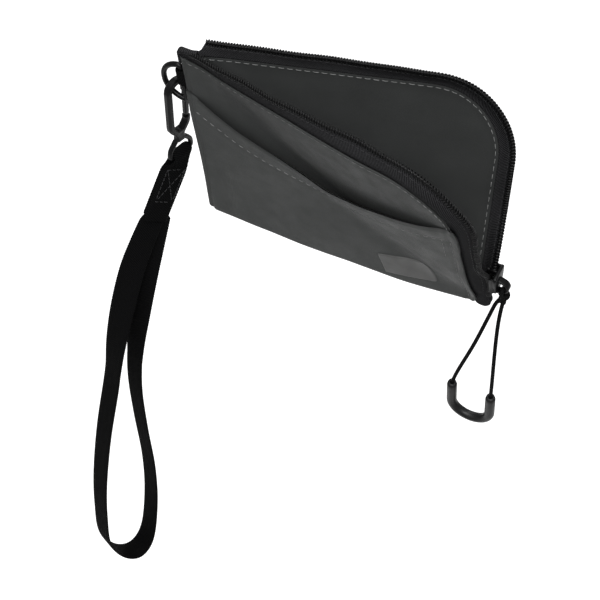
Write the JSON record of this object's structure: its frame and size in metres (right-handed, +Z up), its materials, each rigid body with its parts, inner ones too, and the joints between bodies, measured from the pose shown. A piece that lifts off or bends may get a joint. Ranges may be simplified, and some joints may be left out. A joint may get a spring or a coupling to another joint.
{
  "type": "zippered pouch",
  "caption": "Slim zippered pouch, open, with an L-shaped zip, front slip pocket, cord puller, D-ring, snap hook and webbing wrist strap.",
  "frame": {"origin": "middle of the bottom seam, on the middle plane of the closed pouch", "axes": "+X along the width towards the slider side, -Y to the front with the slip pocket, +Z up towards the zip"},
  "size_m": [0.1739, 0.1131, 0.3022],
  "materials": {
    "tarpaulin": "matt coated polyester, dark grey",
    "zip_tape": "woven black tape",
    "zip_coil": "black nylon coil",
    "slider": "black lacquer",
    "cord": "braided black cord",
    "grip": "soft black plastic",
    "ring": "black satin",
    "hook": "black moulded plastic",
    "webbing": "black ribbed webbing",
    "label": "smooth grey-brown patch"
  },
  "bodies": {
    "pouch": {"front_panel_lower": "tarpaulin", "pocket_panel_lower": "tarpaulin", "back_panel_lower": "tarpaulin", "bottom_seam": "tarpaulin", "side_seam": "tarpaulin", "zip_top_stop": "zip_tape", "zip_end_lobe": "zip_tape", "label_patch": "label", "ring_tab": "webbing"},
    "front_mouth": {"front_panel_mouth": "tarpaulin", "pocket_panel_mouth": "tarpaulin", "zip_tape_front": "zip_tape", "zip_coil_front": "zip_coil"},
    "back_mouth": {"back_panel_mouth": "tarpaulin", "zip_tape_back": "zip_tape", "zip_coil_back": "zip_coil"},
    "slider": {"slider_body": "slider", "slider_bail": "slider"},
    "puller": {"puller_hitch": "cord", "puller_cord": "cord", "puller_grip": "grip"},
    "ring": {"d_ring": "ring"},
    "hook": {"hook_body": "hook"},
    "gate": {"hook_gate": "hook"},
    "strap": {"strap_fold": "webbing", "strap_sewn_end": "webbing", "strap_loop_left": "webbing", "strap_loop_bottom": "webbing", "strap_loop_right": "webbing"}
  },
  "joints": [
    {"name": "zip_slide", "type": "slide", "parent": "pouch", "child": "slider", "axis": [0, 0, 1], "range_m": [0, 0.036]},
    {"name": "front_mouth_fold", "type": "hinge", "parent": "pouch", "child": "front_mouth", "pos_m": [0.0565, 0, 0], "axis": [0.8094, 0, -0.5873], "range_deg": [-16, 0]},
    {"name": "back_mouth_fold", "type": "hinge", "parent": "pouch", "child": "back_mouth", "pos_m": [0.0565, 0, 0], "axis": [0.8094, 0, -0.5873], "range_deg": [0, 25]},
    {"name": "puller_swing", "type": "hinge", "parent": "slider", "child": "puller", "pos_m": [0.0659, 0, 0.014], "axis": [0, 1, 0], "range_deg": [-90, 4]},
    {"name": "ring_swing", "type": "hinge", "parent": "pouch", "child": "ring", "pos_m": [-0.0578, 0, 0.0665], "axis": [0, 0, 1], "range_deg": [-30, 45]},
    {"name": "hook_swing", "type": "hinge", "parent": "ring", "child": "hook", "pos_m": [-0.06255, 0, 0.05956], "axis": [0.805, 0, -0.5933], "range_deg": [-20, 12]},
    {"name": "gate_open", "type": "hinge", "parent": "hook", "child": "gate", "pos_m": [-0.06296, 0.00405, 0.04524], "axis": [-0.9541, 0.2756, 0.1171], "range_deg": [-16, 0], "stiffness_Nm_per_rad": 0.02},
    {"name": "strap_swing", "type": "hinge", "parent": "hook", "child": "strap", "pos_m": [-0.06645, 0.00025, 0.02572], "axis": [0.2736, 0.9613, -0.0336], "range_deg": [-40, 40]}
  ],
  "couplings": [
    {"joint": "front_mouth_fold", "follows": "zip_slide", "rad_per_m": -7.757},
    {"joint": "back_mouth_fold", "follows": "zip_slide", "rad_per_m": 12.12}
  ]
}
